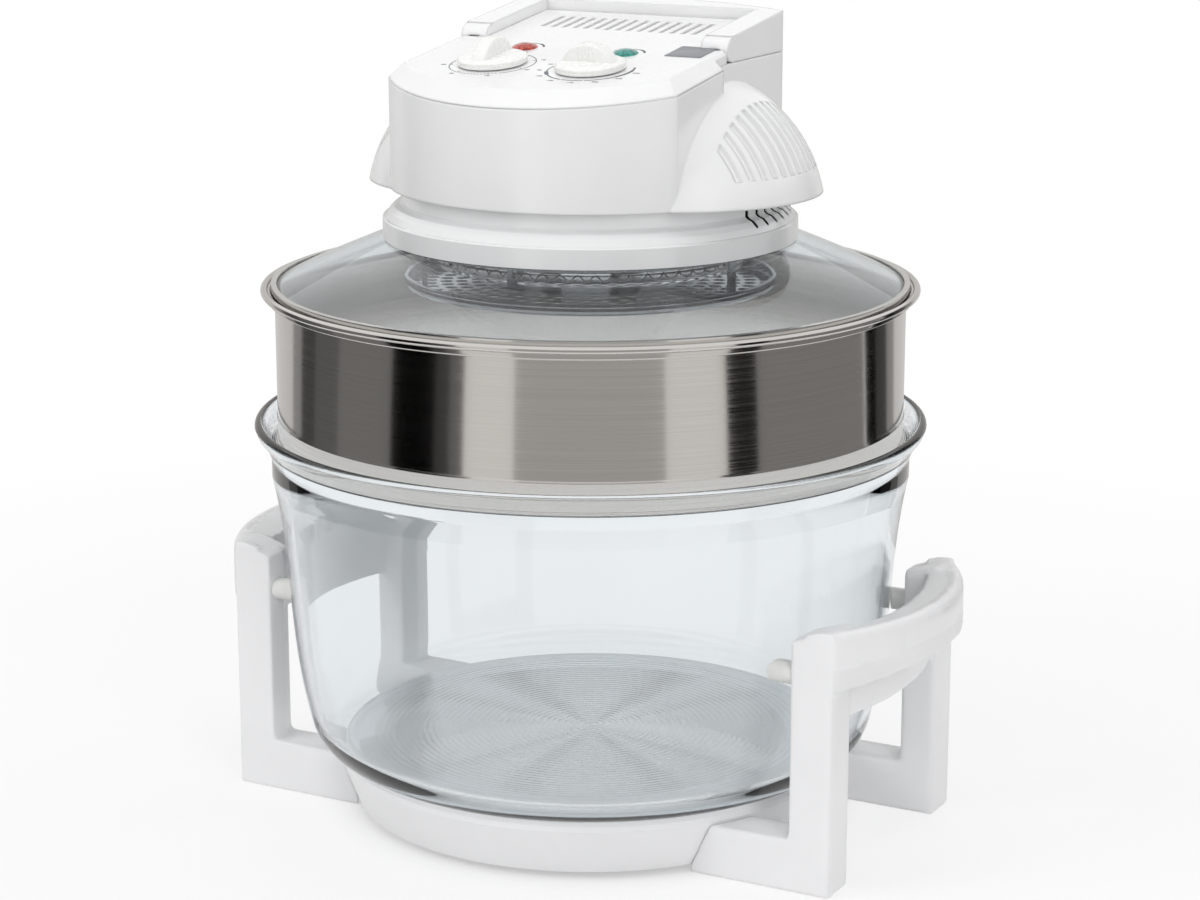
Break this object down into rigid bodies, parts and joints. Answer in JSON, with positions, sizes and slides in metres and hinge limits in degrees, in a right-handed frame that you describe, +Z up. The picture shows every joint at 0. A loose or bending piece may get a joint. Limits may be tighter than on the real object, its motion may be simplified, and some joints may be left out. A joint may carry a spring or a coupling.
{
  "type": "halogen oven",
  "caption": "Countertop halogen oven: glass bowl in a white stand with side grips, steel extension ring, and a lift-off glass lid with heater, fan, dials and a folding handle.",
  "frame": {"origin": "on the bowl's axis at table height, which is the bottom centre of the whole part's box", "axes": "+Z up, the dials face -Y, +X to the right seen from the front"},
  "size_m": [0.384, 0.333, 0.3993],
  "materials": {
    "stand_plastic": "satin",
    "head_plastic": "satin",
    "knob_plastic": "satin",
    "pad_rubber": "matt",
    "seal_rubber": "matt",
    "bowl_glass": "clear",
    "lid_glass": "clear",
    "ring_steel": "brushed round the ring",
    "band_steel": "polished",
    "guard_steel": "plain sheet",
    "screw_steel": "zinc plated",
    "bracket_steel": "zinc plated",
    "stack_iron": "laminated",
    "coil_copper": "enamelled winding",
    "bush_bronze": "sintered",
    "fan_aluminium": "pressed sheet",
    "red_lens": "translucent",
    "green_lens": "translucent",
    "glow_lamp": "clear",
    "unit_plastic": "satin",
    "dark_plastic": "satin",
    "ceramic": "matt",
    "insulation": "matt",
    "quartz": "clear",
    "tungsten": "matt"
  },
  "bodies": {
    "stand": {"base_ring": "stand_plastic", "left_handle": "stand_plastic", "right_handle": "stand_plastic", "handle_screws": "screw_steel", "bumper_pads": "pad_rubber", "pad_screws": "screw_steel"},
    "bowl": {"glass_bowl": "bowl_glass"},
    "ring": {"extension_ring": "ring_steel"},
    "lid": {"lid_glass": "lid_glass", "lid_band": "band_steel", "lid_gasket": "seal_rubber", "clamp_ring": "guard_steel", "collar": "head_plastic", "lower_housing": "head_plastic", "top_cover": "head_plastic", "power_lens": "red_lens", "heat_lens": "green_lens", "power_lamp": "glow_lamp", "heat_lamp": "glow_lamp", "timer_unit": "unit_plastic", "thermostat_unit": "unit_plastic", "safety_switch": "dark_plastic", "motor_stator": "stack_iron", "motor_coil": "coil_copper", "motor_brackets": "bracket_steel", "motor_bearings": "bush_bronze", "motor_bridge": "bracket_steel", "motor_screws": "screw_steel", "heat_shield": "guard_steel", "insulation_disc": "insulation", "upper_grille": "guard_steel", "guard_dish": "guard_steel", "guard_straps": "guard_steel", "halogen_tube": "quartz", "filament": "tungsten", "lamp_ends": "ceramic", "tube_clips": "guard_steel", "terminal_block": "ceramic", "cord_inlet": "dark_plastic", "thermal_fuse": "ceramic", "collar_screws": "screw_steel", "cover_screws": "screw_steel", "handle_pins": "screw_steel"},
    "handle": {"carry_handle": "head_plastic"},
    "plunger": {"switch_plunger": "dark_plastic"},
    "timer": {"timer_knob": "knob_plastic", "timer_spindle": "screw_steel"},
    "thermostat": {"thermostat_knob": "knob_plastic", "thermostat_spindle": "screw_steel"},
    "fan": {"rotor": "stack_iron", "motor_shaft": "screw_steel", "cooling_fan": "fan_aluminium", "convection_fan": "fan_aluminium", "fan_nut": "screw_steel"}
  },
  "joints": [
    {"name": "bowl_lift", "type": "slide", "parent": "stand", "child": "bowl", "axis": [0, 0, 1], "range_m": [0, 0.12]},
    {"name": "ring_lift", "type": "slide", "parent": "bowl", "child": "ring", "axis": [0, 0, 1], "range_m": [0, 0.04]},
    {"name": "lid_lift", "type": "slide", "parent": "ring", "child": "lid", "axis": [0, 0, 1], "range_m": [0, 0.06]},
    {"name": "handle_fold", "type": "hinge", "parent": "lid", "child": "handle", "pos_m": [0, 0.007, 0.38344], "axis": [1, 0, 0], "range_deg": [0, 90]},
    {"name": "plunger_slide", "type": "slide", "parent": "lid", "child": "plunger", "axis": [0, 0, 1], "range_m": [0, 0.003]},
    {"name": "timer_turn", "type": "hinge", "parent": "lid", "child": "timer", "pos_m": [-0.0265, -0.048, 0.37716], "axis": [0, 0.1357, -0.9907], "range_deg": [0, 300]},
    {"name": "thermostat_turn", "type": "hinge", "parent": "lid", "child": "thermostat", "pos_m": [0.0265, -0.048, 0.37716], "axis": [0, 0.1357, -0.9907], "range_deg": [0, 270]},
    {"name": "fan_spin", "type": "hinge", "parent": "lid", "child": "fan", "pos_m": [0, 0, 0.33], "axis": [0, 0, 1], "continuous": true}
  ],
  "couplings": [
    {"joint": "plunger_slide", "follows": "handle_fold", "m_per_rad": 0.0019}
  ]
}
